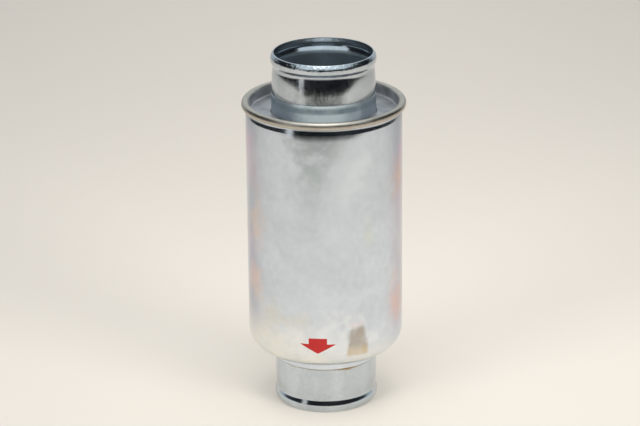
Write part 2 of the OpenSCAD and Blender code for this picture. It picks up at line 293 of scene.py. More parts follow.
# marks on the can, most in the passivation and one a painted reflection: middle, size, colour, strength
canMarks = [
    ((2.0, -27.5, 33.0), (25, 20, 12), (0.92, 0.94, 0.97), 0.65),       # pale glow round the arrow
    ((-3.0, -28.4, 113.0), (11.5, 10, 22), (0.33, 0.37, 0.39), 0.85),   # painted reflection of the dark zone under the seam, in grey down the front
    ((-4.0, -28.2, 97.0), (9.5, 10, 24), (0.50, 0.56, 0.585), 0.6),
    ((11.0, -26.6, 97.0), (10.0, 9, 17), (0.80, 0.86, 0.90), 0.6),      # paler wedge beside it
    ((-28.0, -6.0, 100.0), (7.0, 11, 12), (0.74, 0.48, 0.68), 0.6),     # pink and amber towards the sides
    ((-25.0, -14.0, 75.0), (6.0, 9, 12), (0.86, 0.66, 0.54), 0.5),
    ((-26.3, -12.0, 52.0), (6.0, 9, 9), (0.86, 0.62, 0.50), 0.6),
    ((-27.5, -7.0, 62.0), (5.0, 8, 11), (0.66, 0.54, 0.70), 0.55),
    ((28.0, -6.0, 99.0), (5.5, 11, 8), (0.74, 0.46, 0.64), 0.6),
    ((27.0, -10.0, 90.0), (5.0, 9, 9), (0.78, 0.56, 0.42), 0.6),
    ((27.6, -8.0, 78.0), (5.5, 10, 12), (0.60, 0.48, 0.66), 0.6),
    ((26.8, -10.5, 43.0), (6.0, 9, 13), (0.86, 0.55, 0.46), 0.55),
    ((16.0, -24.0, 73.0), (3.2, 4, 6), (0.74, 0.76, 0.54), 0.4),
    ((-20.0, -20.5, 42.0), (10.0, 10, 7), (0.70, 0.66, 0.54), 0.5),
    ((-10.0, -27.0, 41.0), (10.0, 8, 4), (0.72, 0.69, 0.57), 0.4),
    ((11.8, -26.4, 38.9), (3.6, 6, 1.5), (0.86, 0.70, 0.70), 0.4),
]

taperedMark = {
    "x": 11.65, "low": 27.2, "high": 38.2, "halfWidths": (4.0, 2.5), "edge": 1.0, "ragged": 0.4,
    "lowFade": (-1.5, 0.5), "highFade": (-1.6, 0.8), "brokenUp": (0.68, 0.95),
    "color": (0.44, 0.40, 0.35), "foot": (0.64, 0.53, 0.36), "footTop": 29.6, "footFade": 2,
}


def addTaperedMark(tree, place, parts, color):
    # a tapered mark on the shoulder, beside the arrow, orange at its foot
    t = taperedMark
    ragged = patches(tree, place, 420, 4, 0.6, -t["ragged"] * mm, t["ragged"] * mm, smooth=False)
    tall = add(tree, parts["Z"], ragged)
    half = remap(tree, tall, t["low"] * mm, t["high"] * mm, *(width * mm for width in t["halfWidths"]),
                 smooth=False)
    off = math2(tree, "ABSOLUTE", math2(tree, "SUBTRACT", parts["X"], t["x"] * mm))
    gap = math2(tree, "SUBTRACT", half, add(tree, off, ragged))
    across = remap(tree, gap, -t["edge"] * mm, t["edge"] * mm)
    ends = between(tree, tall, [t["low"] + fade for fade in t["lowFade"]],
                   [t["high"] + fade for fade in t["highFade"]])
    front = remap(tree, parts["Y"], -0.01, 0.0, 1, 0)
    mark = multiply(tree, multiply(tree, across, ends), front)
    upper = remap(tree, tall, (t["footTop"] - t["footFade"]) * mm, (t["footTop"] + t["footFade"]) * mm)
    tone = mixColor(tree, upper, t["foot"], t["color"])
    brokenUp = patches(tree, place, 330, 4, 0.6, *t["brokenUp"])
    return mixColor(tree, multiply(tree, mark, brokenUp), color, tone)


def makeCanZinc():
    c = canFinish
    made, tree, shader, place, skin = platedMaterial("canZinc", c["skin"])
    color = skin["Color"]
    parts = splitPlace(tree, place)
    # cream bloom on the lower left and round the shoulder
    height = add(tree, parts["Z"], multiply(tree, noiseValue(tree, place, 60, 4), c["creamDrift"] * mm))
    height = add(tree, height, multiply(tree, parts["X"], c["creamLean"]))
    low = remap(tree, height, (c["creamTop"] - c["creamFade"]) * mm, c["creamTop"] * mm, 1, 0)
    foot = remap(tree, parts["Z"], *(edge * mm for edge in c["creamFoot"]))
    blotch = patches(tree, place, 150, 4, 0.5, 0.55, 1.0, near=0.35)
    cream = multiply(tree, multiply(tree, low, blotch), foot)
    color = mixColor(tree, multiply(tree, cream, c["creamStrength"]), color, c["cream"])
    # the clear passivation turns pink and lilac at a glancing angle
    facing = addNode(tree, "LayerWeight", {"Blend": c["edgeBlend"]}).outputs["Facing"]
    bands = remap(tree, noiseValue(tree, stretch(tree, place, (1, 1, 0.6)), 38, 2), 0.35, 0.6, 0.35, 1.0)
    edge = multiply(tree, remap(tree, facing, *c["edgeFacing"]), bands)
    edge = multiply(tree, edge, remap(tree, parts["Z"], *(end * mm for end in c["edgeFoot"])))
    hue = mixColor(tree, patches(tree, place, 52, 2, 0.5, 0, 1, near=0.42), c["pink"], c["lilac"])
    color = mixColor(tree, multiply(tree, edge, c["edgeTint"]), color, hue)
    for centre, reach, tone, strength in canMarks:
        mark = spot(tree, place, centre, reach, c["markRagged"], c["markInner"])
        color = mixColor(tree, multiply(tree, mark, strength), color, tone)
    colorInto(tree, shader, addTaperedMark(tree, place, parts, color), skin["Roughness"])
    shader.inputs["Metallic"].default_value = 1.0
    bumpInto(tree, shader, skin["Height"], c["bump"])
    return made


tubeFinish = {
    "skin": {"Light": (0.66, 0.715, 0.76, 1), "Dark": (0.50, 0.55, 0.59, 1), "Cloud Scale": 120,
             "Fine Scale": 900, "Streak Scale": 2600, "Streak": 0.5, "Rough Low": 0.095, "Rough High": 0.18},
    "bump": 0.035,
    "band": (0.50, 0.55, 0.59), "bandStrength": 0.45,
    "edge": (0.62, 0.57, 0.68), "edgeBlend": 0.35, "edgeFacing": (0.5, 0.95), "edgeTint": 0.6,
    # the near-black colour below is a painted reflection of the dark zone in front, laid on the inlet tube's
    # front
    "paintedReflection": (0.15, 0.16, 0.165), "paintedReflectionAt": (-0.5, -19, 125.2), "paintedReflectionSize": (12.5, 15, 6.6),
    "burnt": (0.34, 0.25, 0.11), "burntAt": (7.5, -17.6, 17.15), "burntSize": (9.5, 7, 0.5),
    "burntStrength": 0.8,
    "inside": (0.46, 0.52, 0.55), "insideRadius": 18.3, "insideFade": 0.1, "insideRough": 0.21,
    "lipDepth": 2.6, "lipBump": 0.8, "lipBumpDepth": 0.3,
}

# the inlet tube's foot, rougher and less metallic, with a painted highlight on its front, painted shade at its
# sides and a painted dark reflection band, the ring, below the swage
tubeFoot = {
    "rise": (100, 101), "fall": (120.1, 121.0), "metal": 0.66, "rough": 0.24,
    "side": (0.36, 0.43, 0.50), "front": (0.86, 0.98, 1.0), "highlightAt": (0.5, -19, 117), "highlightSize": (15, 14, 9),
    "ring": (0.27, 0.36, 0.42), "ringRise": (116.8, 118.0), "ringFall": (118.9, 120.0),
}


def makeTubeZinc():
    c, f = tubeFinish, tubeFoot
    made, tree, shader, place, skin = platedMaterial("tubeZinc", c["skin"])
    high = splitPlace(tree, place)["Z"]
    bands = patches(tree, stretch(tree, place, plating["drawn"]), 170, 3, 0.5, 0, c["bandStrength"], near=0.35)
    color = mixColor(tree, bands, skin["Color"], c["band"])
    facing = addNode(tree, "LayerWeight", {"Blend": c["edgeBlend"]}).outputs["Facing"]
    color = mixColor(tree, remap(tree, facing, *c["edgeFacing"], 0, c["edgeTint"]), color, c["edge"])
    # painted reflection: the dark zone in front is painted dark on the inlet tube's front and broken up by drawn
    # streaks
    drawn = patches(tree, stretch(tree, place, (1, 1, 0.22)), 1500, 4, 0.65, 0.45, 1.0, near=0.35)
    paintedReflection = multiply(tree, spot(tree, place, c["paintedReflectionAt"], c["paintedReflectionSize"]), drawn)
    color = mixColor(tree, paintedReflection, color, c["paintedReflection"])
    burnt = spot(tree, place, c["burntAt"], c["burntSize"], 0.45, -0.1)
    color = mixColor(tree, multiply(tree, burnt, c["burntStrength"]), color, c["burnt"])
    # painted light on the inlet tube's foot: a highlight on its front, shade at its sides and a dark reflection
    # band below the swage
    foot = between(tree, high, f["rise"], f["fall"])
    front = spot(tree, place, f["highlightAt"], f["highlightSize"], 0.2, 0.3)
    footColor = mixColor(tree, front, f["side"], f["front"])
    ring = multiply(tree, between(tree, high, f["ringRise"], f["ringFall"]),
                    patches(tree, place, 210, 3, 0.6, 0.6, 1.0))
    color = mixColor(tree, foot, color, mixColor(tree, ring, footColor, f["ring"]))
    join(tree, remap(tree, foot, 0, 1, 1, f["metal"], smooth=False), shader.inputs["Metallic"])
    # the bore is darker and duller than the outside
    inside = remap(tree, axisDistance(tree, place), c["insideRadius"] * mm,
                   (c["insideRadius"] + c["insideFade"]) * mm, 1, 0)
    mottle = patches(tree, place, 260, 4, 0.6, 0.55, 1.0)
    color = mixColor(tree, multiply(tree, inside, mottle), color, c["inside"])
    dull = add(tree, multiply(tree, inside, c["insideRough"]), multiply(tree, foot, f["rough"]))
    colorInto(tree, shader, color, add(tree, skin["Roughness"], dull))
    # the rolled lip of the inlet is slightly lumpy
    lipFoot = cadBox[1].z - c["lipDepth"] * mm
    lip = remap(tree, high, lipFoot, lipFoot + c["lipDepth"] / 2 * mm)
    lumps = multiply(tree, noiseValue(tree, place, 850, 3, 0.6), lip)
    lumpy = bumpNormal(tree, lumps, c["lipBump"], c["lipBumpDepth"])
    fine = bumpNormal(tree, skin["Height"], c["bump"])
    join(tree, lumpy.outputs["Normal"], fine.inputs["Normal"])
    join(tree, fine.outputs["Normal"], shader.inputs["Normal"])
    return made


coverFinish = {
    "skin": {"Light": (0.60, 0.56, 0.49, 1), "Dark": (0.46, 0.415, 0.355, 1), "Cloud Scale": 150,
             "Fine Scale": 900, "Streak Scale": 900, "Streak": 0.2, "Rough Low": 0.30, "Rough High": 0.42},
    "bump": 0.08, "rimEdge": (27.5, 27.9),
    "panLight": (0.46, 0.475, 0.50), "panDark": (0.30, 0.315, 0.33), "panMetal": 0.6, "panRough": 0.9,
# the pan greys are painted shade: the recess inside the rim, floor and inner wall, is coloured darker than the
# roll
}


def makeCoverPlate():
    c = coverFinish
    made, tree, shader, place, skin = platedMaterial("coverPlate", c["skin"])
    # painted shade: inside the rim the recess takes the darker pan greys, mottled at random
    rim = remap(tree, axisDistance(tree, place), *(edge * mm for edge in c["rimEdge"]))
    panMottle = patches(tree, place, 130, 5, 0.65, 0, 1, near=0.38)
    pan = mixColor(tree, panMottle, c["panDark"], c["panLight"])
    dull = remap(tree, rim, 0, 1, c["panRough"], 1, smooth=False)
    colorInto(tree, shader, mixColor(tree, rim, pan, skin["Color"]), multiply(tree, skin["Roughness"], dull))
    join(tree, remap(tree, rim, 0, 1, c["panMetal"], 1, smooth=False), shader.inputs["Metallic"])
    bumpInto(tree, shader, skin["Height"], c["bump"])
    return made


brazeFinish = {
    "skin": {"Light": (0.66, 0.65, 0.60, 1), "Dark": (0.42, 0.39, 0.33, 1), "Cloud Scale": 260,
             "Fine Scale": 1200, "Streak Scale": 900, "Streak": 0.1, "Rough Low": 0.3, "Rough High": 0.55},
    "bump": 0.4, "metal": 0.9,
    "burnt": (0.34, 0.22, 0.09), "burntAt": (7.5, -17.8, 17.8), "burntSize": (7.5, 5, 4),
}


def makeBraze():
    c = brazeFinish
    made, tree, shader, place, skin = platedMaterial("braze", c["skin"])
    burnt = spot(tree, place, c["burntAt"], c["burntSize"])
    colorInto(tree, shader, mixColor(tree, burnt, skin["Color"], c["burnt"]), skin["Roughness"])
    shader.inputs["Metallic"].default_value = c["metal"]
    bumpInto(tree, shader, skin["Height"], c["bump"])
    return made


inkFinish = {
    "dark": (0.40, 0.008, 0.009), "light": (0.49, 0.014, 0.013), "roughLow": 0.35, "roughHigh": 0.5,
    "bump": 0.15, "bumpDepth": 0.05,
}


def makeArrowInk():
    c = inkFinish
    made, tree, shader, place = newMaterial("arrowInk")
    fleck = remap(tree, noiseValue(tree, place, 2200, 3, 0.6), 0.35, 0.7)
    rough = patches(tree, place, 900, 3, 0.5, c["roughLow"], c["roughHigh"])
    colorInto(tree, shader, mixColor(tree, fleck, c["dark"], c["light"]), rough)
    bumpInto(tree, shader, fleck, c["bump"], c["bumpDepth"])
    return made


def makeInnerSteel(name, light, dark, roughLow, roughHigh):
    made, tree, shader, place, skin = platedMaterial(name, {
        "Light": (*light, 1), "Dark": (*dark, 1), "Cloud Scale": 140, "Fine Scale": 900,
        "Streak Scale": 1200, "Streak": 0.4, "Rough Low": roughLow, "Rough High": roughHigh})
    colorInto(tree, shader, skin["Color"], skin["Roughness"])
    shader.inputs["Metallic"].default_value = 1.0
    bumpInto(tree, shader, skin["Height"], 0.15)
    return made


def makeSoft(name, light, dark, scale, rough, bump, spread=0.08):
    made, tree, shader, place = newMaterial(name)
    mottle = patches(tree, place, scale, 5, 0.6, 0, 1, near=0.35)
    roughness = patches(tree, place, scale * 3, 3, 0.5, rough - spread, rough + spread)
    colorInto(tree, shader, mixColor(tree, mottle, dark, light), roughness)
    bumpInto(tree, shader, noiseValue(tree, place, scale * 6, 4, 0.7), bump)
    return made


canZinc = makeCanZinc()
tubeZinc = makeTubeZinc()
coverPlate = makeCoverPlate()
braze = makeBraze()
arrowInk = makeArrowInk()
tinSheet = makeInnerSteel("tinSheet", (0.66, 0.68, 0.68), (0.5, 0.52, 0.53), 0.2, 0.38)
springWire = makeInnerSteel("springWire", (0.36, 0.37, 0.39), (0.22, 0.225, 0.24), 0.25, 0.4)
filterPaper = makeSoft("filterPaper", (0.82, 0.70, 0.46), (0.70, 0.57, 0.34), 600, 0.85, 0.5)
setAdhesive = makeSoft("setAdhesive", (0.80, 0.72, 0.52), (0.70, 0.60, 0.40), 220, 0.45, 0.2)
nitrile = makeSoft("nitrile", (0.035, 0.035, 0.036), (0.02, 0.02, 0.021), 900, 0.55, 0.25)
seamSealant = makeSoft("seamSealant", (0.09, 0.088, 0.085), (0.05, 0.05, 0.05), 700, 0.6, 0.3)
print("materials made")


# outlines are drawn in the XZ plane and spun round the axis; open ones are sheets and get a thickness

def roundOff(bm, parts, offset, segments, kind="VERTICES"):
    bmesh.ops.bevel(bm, geom=parts, offset=offset * mm, offset_type="OFFSET", segments=segments,
                    profile=0.5, affect=kind, material=-1)


def drawLine(bm, corners, closed=False, segments=8):
    # corners: (radius, height, rounding)
    verts = [bm.verts.new((r * mm, 0, z * mm)) for r, z, rounding in corners]
    for first, second in zip(verts, verts[1:] + (verts[:1] if closed else [])):
        bm.edges.new((first, second))
    for vert, (r, z, rounding) in zip(verts, corners):
        if rounding:
            roundOff(bm, [vert], rounding, segments)


def spinAround(bm, steps):
    bmesh.ops.spin(bm, geom=bm.verts[:] + bm.edges[:], cent=(0, 0, 0), axis=(0, 0, 1), dvec=(0, 0, 0),
                   angle=math.tau, steps=steps, use_merge=True, use_duplicate=False)
    bmesh.ops.remove_doubles(bm, verts=bm.verts, dist=1e-6)
    bmesh.ops.recalc_face_normals(bm, faces=bm.faces)


def turnFaces(bm, radius, height, out, up):
    # a sheet's face nearest this place has to look this way
    def distance(face):
        middle = face.calc_center_median()
        return math.hypot(middle.xy.length - radius * mm, middle.z - height * mm)
    near = min(bm.faces, key=distance)
    middle = near.calc_center_median()
    look = Vector((middle.x, middle.y, 0)).normalized() * out + Vector((0, 0, up))
    if near.normal.dot(look) < 0:
        bmesh.ops.reverse_faces(bm, faces=bm.faces)


def thicken(bm, sheet):
    bmesh.ops.solidify(bm, geom=bm.faces[:], thickness=sheet * mm)


def spinSheet(corners, sheet, outerFace, segments=6, steps=144):
    bm = bmesh.new()
    drawLine(bm, corners, segments=segments)
    spinAround(bm, steps)
    turnFaces(bm, *outerFace)
    thicken(bm, sheet)
    return bm


def spinSolid(corners, segments, steps=144):
    bm = bmesh.new()
    drawLine(bm, corners, closed=True, segments=segments)
    spinAround(bm, steps)
    return bm


def pullEdges(bm, edges, move):
    made = bmesh.ops.extrude_edge_only(bm, edges=edges)["geom"]
    verts = [part for part in made if isinstance(part, bmesh.types.BMVert)]
    bmesh.ops.translate(bm, verts=verts, vec=move)
    return [part for part in made if isinstance(part, bmesh.types.BMEdge)], verts


def meshObject(bm, name, material):
    mesh = bpy.data.meshes.new(name)
    bm.to_mesh(mesh)
    bm.free()
    obj = bpy.data.objects.new(name, mesh)
    bpy.context.collection.objects.link(obj)
    mesh.materials.append(material)
    mesh.shade_smooth()
    return obj


sharpAngle = 35   # degrees between faces


def keepPiece(bm, name, body, nodes, material):
    obj = meshObject(bm, name, material)
    obj.data.set_sharp_from_angle(angle=math.radians(sharpAngle))
    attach(obj, body)
    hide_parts(*nodes)
    return obj


canister = {
    "collar": 19.6, "collarEnd": 18.0, "collarFillet": 0.6, "radius": 28.8, "underside": 21.0,
    "shoulder": 8.0, "sheet": 0.5,
    "leanStart": 111.2, "leanRounding": 1.25, "leanRadius": 28.71,
    "neckStart": 112.6, "neckRounding": 0.45, "neckRadius": 28.42, "neckEnd": 113.9, "neckEndRounding": 0.3,
    "hookTop": 116.25, "hookInner": 28.47, "hookRadius": 29.2, "hookEnd": 115.7, "hookRounding": 0.28,
}


def makeCanister():
    c = canister
    corners = [
        (c["collar"], c["collarEnd"], 0), (c["collar"], c["underside"], c["collarFillet"]),
        (c["radius"], c["underside"], c["shoulder"]), (c["radius"], c["leanStart"], c["leanRounding"]),
        (c["leanRadius"], c["neckStart"], c["neckRounding"]),
        (c["neckRadius"], c["neckEnd"], c["neckEndRounding"]),
        (c["hookInner"], c["hookTop"], c["hookRounding"]), (c["hookRadius"], c["hookTop"], c["hookRounding"]),
        (c["hookRadius"], c["hookEnd"], 0)]
    bm = spinSheet(corners, c["sheet"], (c["radius"], 70, 1, 0), segments=12, steps=192)
    return keepPiece(bm, "canisterShell", "housing", ["canister"], canZinc)


cover = {
    "neck": 19.1, "neckEnd": 110.3, "neckFillet": 0.7, "pan": 113.3, "wall": 27.4, "panFillet": 1.0,
    "rimTop": 117.6, "rimOuter": 30.2, "rimBottom": 114.65, "rollRounding": 1.34, "curlEnd": 28.68,
    "sheet": 0.4,
}


def makeCover():
    c = cover
    corners = [
        (c["neck"], c["neckEnd"], 0), (c["neck"], c["pan"], c["neckFillet"]),
        (c["wall"], c["pan"], c["panFillet"]), (c["wall"], c["rimTop"], c["rollRounding"]),
        (c["rimOuter"], c["rimTop"], c["rollRounding"]), (c["rimOuter"], c["rimBottom"], c["rollRounding"]),
        (c["curlEnd"], c["rimBottom"], 0)]
    bm = spinSheet(corners, c["sheet"], (23, c["pan"], 0, 1), segments=12, steps=192)
    return keepPiece(bm, "coverWithRim", "housing", ["end_cover"], coverPlate)


# heights are measured from the mouth
hoseTube = {
    "outer": 19.0, "inner": 18.0,
    "mouthOuter": 18.45, "mouthOuterRounding": 0.2, "mouthInner": 18.05, "mouthInnerRounding": 0.12,
    "mouthFlare": 0.25, "mouthFlareAt": 0.3,
    "beadPeak": 19.85, "beadAt": 2.1, "beadRounding": 1.55,
    "grooveDepth": 0.36, "grooveAt": 4.6, "grooveEnd": 5.5, "grooveRounding": 0.3,
    "taperEnd": 11.6, "taperSteps": 9, "taperRounding": 0.32,
    "swage": 0.26, "swageStart": 15.0, "swageEnd": 21.9, "swageEdge": 0.1,
    "swageSteps": ((0.62, 0.38, 0.16), (0.88, 0.95, 0.26), (1, 2.1, 0.5)),   # share, drop, rounding
    "innerGroove": 19.05, "innerGrooveLow": 3.2, "innerGrooveHigh": 1.7, "innerRounding": 0.6,
    "innerStart": 5.4, "innerStartRounding": 0.8,
}


def tubeTaper():
    # behind the bead the tube widens to its full size, ever more slowly
    t = hoseTube
    shares = [i / t["taperSteps"] for i in range(1, t["taperSteps"] + 1)]
    return [(t["outer"] - t["grooveDepth"] * (1 - share) ** 2,
             t["grooveEnd"] + share * (t["taperEnd"] - t["grooveEnd"]), t["taperRounding"]) for share in shares]


def tubeSwage():
    t = hoseTube
    wide = t["outer"] + t["swage"]
    steps = [(t["outer"] + t["swage"] * share, t["swageStart"] + drop, rounding)
             for share, drop, rounding in t["swageSteps"]]
    return [(t["outer"], t["swageStart"], t["swageEdge"]), *steps,
            (wide, t["swageEnd"] - t["swage"], t["swageEdge"]), (t["outer"], t["swageEnd"], t["swageEdge"])]


def makeTube(name, node, length, flip):
    t = hoseTube
    groove = t["outer"] - t["grooveDepth"]
    swage = tubeSwage() if length > t["swageEnd"] else []   # only the inlet tube is long enough to carry it
    corners = [
        (t["mouthInner"], 0, t["mouthInnerRounding"]), (t["mouthOuter"], 0, t["mouthOuterRounding"]),
        (t["beadPeak"], t["beadAt"], t["beadRounding"]),
        (groove, t["grooveAt"], t["grooveRounding"]), (groove, t["grooveEnd"], t["grooveRounding"]),
        *tubeTaper(), *swage,
        (t["outer"], length, 0), (t["inner"], length, 0),
        (t["inner"], t["innerStart"], t["innerStartRounding"]),
        (t["innerGroove"], t["innerGrooveLow"], t["innerRounding"]),
        (t["innerGroove"], t["innerGrooveHigh"], t["innerRounding"]),
        (t["mouthInner"] + t["mouthFlare"], t["mouthFlareAt"], t["mouthOuterRounding"])]
    bm = spinSolid(corners, segments=10, steps=192)
    if flip:
        bmesh.ops.scale(bm, vec=(1, 1, -1), verts=bm.verts)
        bmesh.ops.translate(bm, vec=(0, 0, cadBox[1].z), verts=bm.verts)
        bmesh.ops.recalc_face_normals(bm, faces=bm.faces)
    return keepPiece(bm, name, "housing", [node], tubeZinc)


brazeRing = {
    "inlet": [(19.0, 112.2, 0), (19.1, 112.2, 0), (19.25, 112.95, 0.1), (19.0, 113.15, 0)],
    "outlet": [(19.0, 17.3, 0), (19.12, 17.45, 0.1), (19.55, 17.98, 0.05), (19.0, 18.05, 0)],
    "freeFrom": 19.02, "wobble": 0.09, "steps": 240,
}


def makeBrazeRing(name, node, corners):
    bm = spinSolid(corners, segments=3, steps=brazeRing["steps"])
    for vert in bm.verts:
        if vert.co.xy.length > brazeRing["freeFrom"] * mm:   # only the free surface wanders
            lump = noise.noise(vert.co * 400) + 0.5 * noise.noise(vert.co * 1500)
            vert.co += Vector((vert.co.x, vert.co.y, 0)).normalized() * lump * brazeRing["wobble"] * mm
    return keepPiece(bm, name, "housing", [node], braze)


arrow = {
    "width": 13.4, "shaft": 6.8, "top": 34.3, "wing": 32.0, "tip": 28.3, "turn": -6.0, "film": 0.03,
    "ink": 0.027, "cut": 0.8, "rows": 8, "corner": 0.12,
}


def shellRadius(z):
    # outer radius of the can at a height in mm
    c = canister
    base = c["underside"] + c["shoulder"]
    if z >= base:
        return c["radius"]
    return c["radius"] - c["shoulder"] + math.sqrt(c["shoulder"] ** 2 - (base - z) ** 2)


def makeArrow():
    a = arrow
    half, shaft = a["width"] / 2, a["shaft"] / 2
    bm = bmesh.new()
    outline = [(-shaft, a["top"]), (-shaft, a["wing"]), (-half, a["wing"]), (0, a["tip"]),
               (half, a["wing"]), (shaft, a["wing"]), (shaft, a["top"])]
    bm.faces.new([bm.verts.new((x * mm, 0, z * mm)) for x, z in outline])
    roundOff(bm, bm.verts[:], a["corner"], 2)
    columns = int(a["width"] / a["cut"])
    cuts = [(((-half + i * a["width"] / columns) * mm, 0, 0), (1, 0, 0)) for i in range(1, columns)]
    cuts += [((0, 0, (a["tip"] + (a["top"] - a["tip"]) * i / a["rows"]) * mm), (0, 0, 1))
             for i in range(1, a["rows"])]
    for place, way in cuts:
        bmesh.ops.bisect_plane(bm, geom=bm.verts[:] + bm.edges[:] + bm.faces[:], plane_co=place, plane_no=way)
    for vert in bm.verts:   # wrap the flat print round the can
        radius = (shellRadius(vert.co.z / mm) + a["film"]) * mm
        angle = vert.co.x / radius + math.radians(a["turn"])
        vert.co = Vector((radius * math.sin(angle), -radius * math.cos(angle), vert.co.z))
    bmesh.ops.recalc_face_normals(bm, faces=bm.faces)
    turnFaces(bm, canister["radius"], a["wing"], 1, 0)
    thicken(bm, a["ink"])
    return keepPiece(bm, "flowArrow", "housing", ["flow_arrow"], arrowInk)


makeCanister()
makeCover()
inletLength = (cadBox[1].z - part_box("inlet_tube")[0].z) / mm
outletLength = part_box("outlet_tube")[1].z / mm
makeTube("inletTube", "inlet_tube", inletLength, True)
makeTube("outletTube", "outlet_tube", outletLength, False)
makeBrazeRing("inletBraze", "inlet_braze", brazeRing["inlet"])
makeBrazeRing("outletBraze", "outlet_braze", brazeRing["outlet"])
makeArrow()
print("outer pieces made")


springSeat = {
    "inner": 19.7, "outer": 23.8, "top": 112.9, "sheet": 0.6, "lipEnd": 110.5, "bend": 0.9, "edge": 0.12,
}


def makeSpringSeat():
    s = springSeat
    wall, under = s["outer"] - s["sheet"], s["top"] - s["sheet"]
    bm = spinSolid([
        (s["inner"], s["top"], s["edge"]), (s["inner"], under, s["edge"]),
        (wall, under, s["bend"] - s["sheet"]), (wall, s["lipEnd"], s["edge"]),
        (s["outer"], s["lipEnd"], s["edge"]), (s["outer"], s["top"], s["bend"])], segments=5)
    return keepPiece(bm, "springSeat", "housing", ["spring_seat"], tinSheet)


spring = {
    "low": 99.12, "high": 112.28, "wire": 1.6, "mean": 21.4, "openTurns": 2, "endTurns": 1,
    "perTurn": 48, "sides": 14, "ease": 0.25, "endRounding": 0.2,
}


def springPitch(turns):
    # rise per turn, easing between the closed end turns and the open ones
    s = spring
    openPitch = (s["high"] - s["low"] - s["wire"] * (1 + 2 * s["endTurns"])) / s["openTurns"]
    share = 1
    for start in (turns - s["endTurns"], s["endTurns"] + s["openTurns"] - turns):
        step = min(1, max(0, start / s["ease"] + 0.5))
        share *= step * step * (3 - 2 * step)
    return s["wire"] + (openPitch - s["wire"]) * share


def makeSpring():
    s = spring
    bm = bmesh.new()
    bmesh.ops.create_circle(bm, cap_ends=False, radius=s["wire"] / 2 * mm, segments=s["sides"])
    bmesh.ops.rotate(bm, verts=bm.verts, cent=(0, 0, 0), matrix=Matrix.Rotation(math.radians(90), 3, "X"))
    bmesh.ops.translate(bm, verts=bm.verts, vec=(s["mean"] * mm, 0, (s["low"] + s["wire"] / 2) * mm))
    ring = bm.verts[:] + bm.edges[:]
    steps = (s["openTurns"] + 2 * s["endTurns"]) * s["perTurn"]
    for i in range(steps):
        rise = springPitch((i + 0.5) / s["perTurn"]) / s["perTurn"] * mm
        made = bmesh.ops.spin(bm, geom=ring, cent=(0, 0, 0), axis=(0, 0, 1), dvec=(0, 0, rise),
                              angle=math.tau / s["perTurn"], steps=1, use_merge=False, use_duplicate=False)
        ring = made["geom_last"]
    bmesh.ops.holes_fill(bm, edges=[e for e in bm.edges if e.is_boundary], sides=0)
    ends = [f for f in bm.faces if len(f.verts) == s["sides"]]
    roundOff(bm, [e for f in ends for e in f.edges], s["endRounding"], 2, "EDGES")
    bmesh.ops.recalc_face_normals(bm, faces=bm.faces)
    piece = keepPiece(bm, "retainingSpring", "housing", ["retaining_spring"], springWire)
    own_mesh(piece)
    return piece


guide = {
    "inner": 19.3, "outer": 25.0, "under": 98.5, "lipTop": 101.5, "sheet": 0.6, "lipBend": 0.8, "steps": 126,
    "fingers": 6, "fingerAngle": 5.8, "reach": 27.8, "fingerTop": 101.5, "fingerBend": 0.9, "bendSteps": 4,
    "tipCorner": 0.8,
}


def fingerMoves():
    # steps out and up that bend a finger from flat to upright
    g = guide
    turns = [math.radians(90 * i / g["bendSteps"]) for i in range(g["bendSteps"] + 1)]
    bend = g["fingerBend"]
    moves = [(g["reach"] - g["outer"] - bend, 0)]
    moves += [(bend * (math.sin(b) - math.sin(a)), bend * (math.cos(a) - math.cos(b)))
              for a, b in zip(turns, turns[1:])]
    return moves + [(0, (g["fingerTop"] - g["under"] - bend) / 2)] * 2


def makeGuide():
    g = guide
    bm = bmesh.new()
    drawLine(bm, [(g["inner"], g["lipTop"], 0), (g["inner"], g["under"], g["lipBend"]),
                  (g["outer"], g["under"], 0)], segments=6)
    spinAround(bm, g["steps"])
    turnFaces(bm, 23, g["under"], 0, -1)
    rim = [e for e in bm.edges
           if e.is_boundary and min(v.co.xy.length for v in e.verts) > (g["outer"] - 0.1) * mm]
    tips = []
    for i in range(g["fingers"]):
        way = Matrix.Rotation(math.tau * i / g["fingers"], 3, "Z") @ Vector((1, 0, 0))
        front = [e for e in rim
                 if all(v.co.xy.angle(way.xy) < math.radians(g["fingerAngle"]) for v in e.verts)]
        for out, up in fingerMoves():
            front, moved = pullEdges(bm, front, way * out * mm + Vector((0, 0, up * mm)))
        tips += sorted(moved, key=lambda v: -v.co.xy.angle(way.xy))[:2]
    roundOff(bm, tips, g["tipCorner"], 4)
    thicken(bm, g["sheet"])
    return keepPiece(bm, "elementGuide", "element", ["element_guide"], tinSheet)


endCap = {
    "radius": 25.4, "sheet": 0.5, "corner": 1.0,
    "top": 98.5, "topRimEnd": 93.5, "step": 10.0, "stepRun": 1, "stepTop": 99.7, "stepBend": 0.6,
    "inner": 13.4, "low": 23.52, "lowRimEnd": 28.52, "collarTop": 28.02,
}


def makeInletCap():
    c = endCap
    bm = spinSheet([
        (0, c["stepTop"], 0), (c["step"], c["stepTop"], c["stepBend"]),
        (c["step"] + c["stepRun"], c["top"], c["stepBend"]),
        (c["radius"], c["top"], c["corner"]), (c["radius"], c["topRimEnd"], 0)],
        c["sheet"], (c["radius"], 95, 1, 0))
    return keepPiece(bm, "inletEndCap", "element", ["inlet_end_cap"], tinSheet)


def makeOutletCap():
    c = endCap
    bm = spinSheet([
        (c["inner"], c["collarTop"], 0), (c["inner"], c["low"], c["corner"]),
        (c["radius"], c["low"], c["corner"]), (c["radius"], c["lowRimEnd"], 0)],
        c["sheet"], (c["radius"], 26, 1, 0))
    return keepPiece(bm, "outletEndCap", "element", ["outlet_end_cap"], tinSheet)


gasket = {
    "inner": 18.4, "outer": 22.6, "low": 21.52, "high": 23.52, "chamferStart": 20.8, "chamferTop": 22.32,
    "soft": 0.25,
}


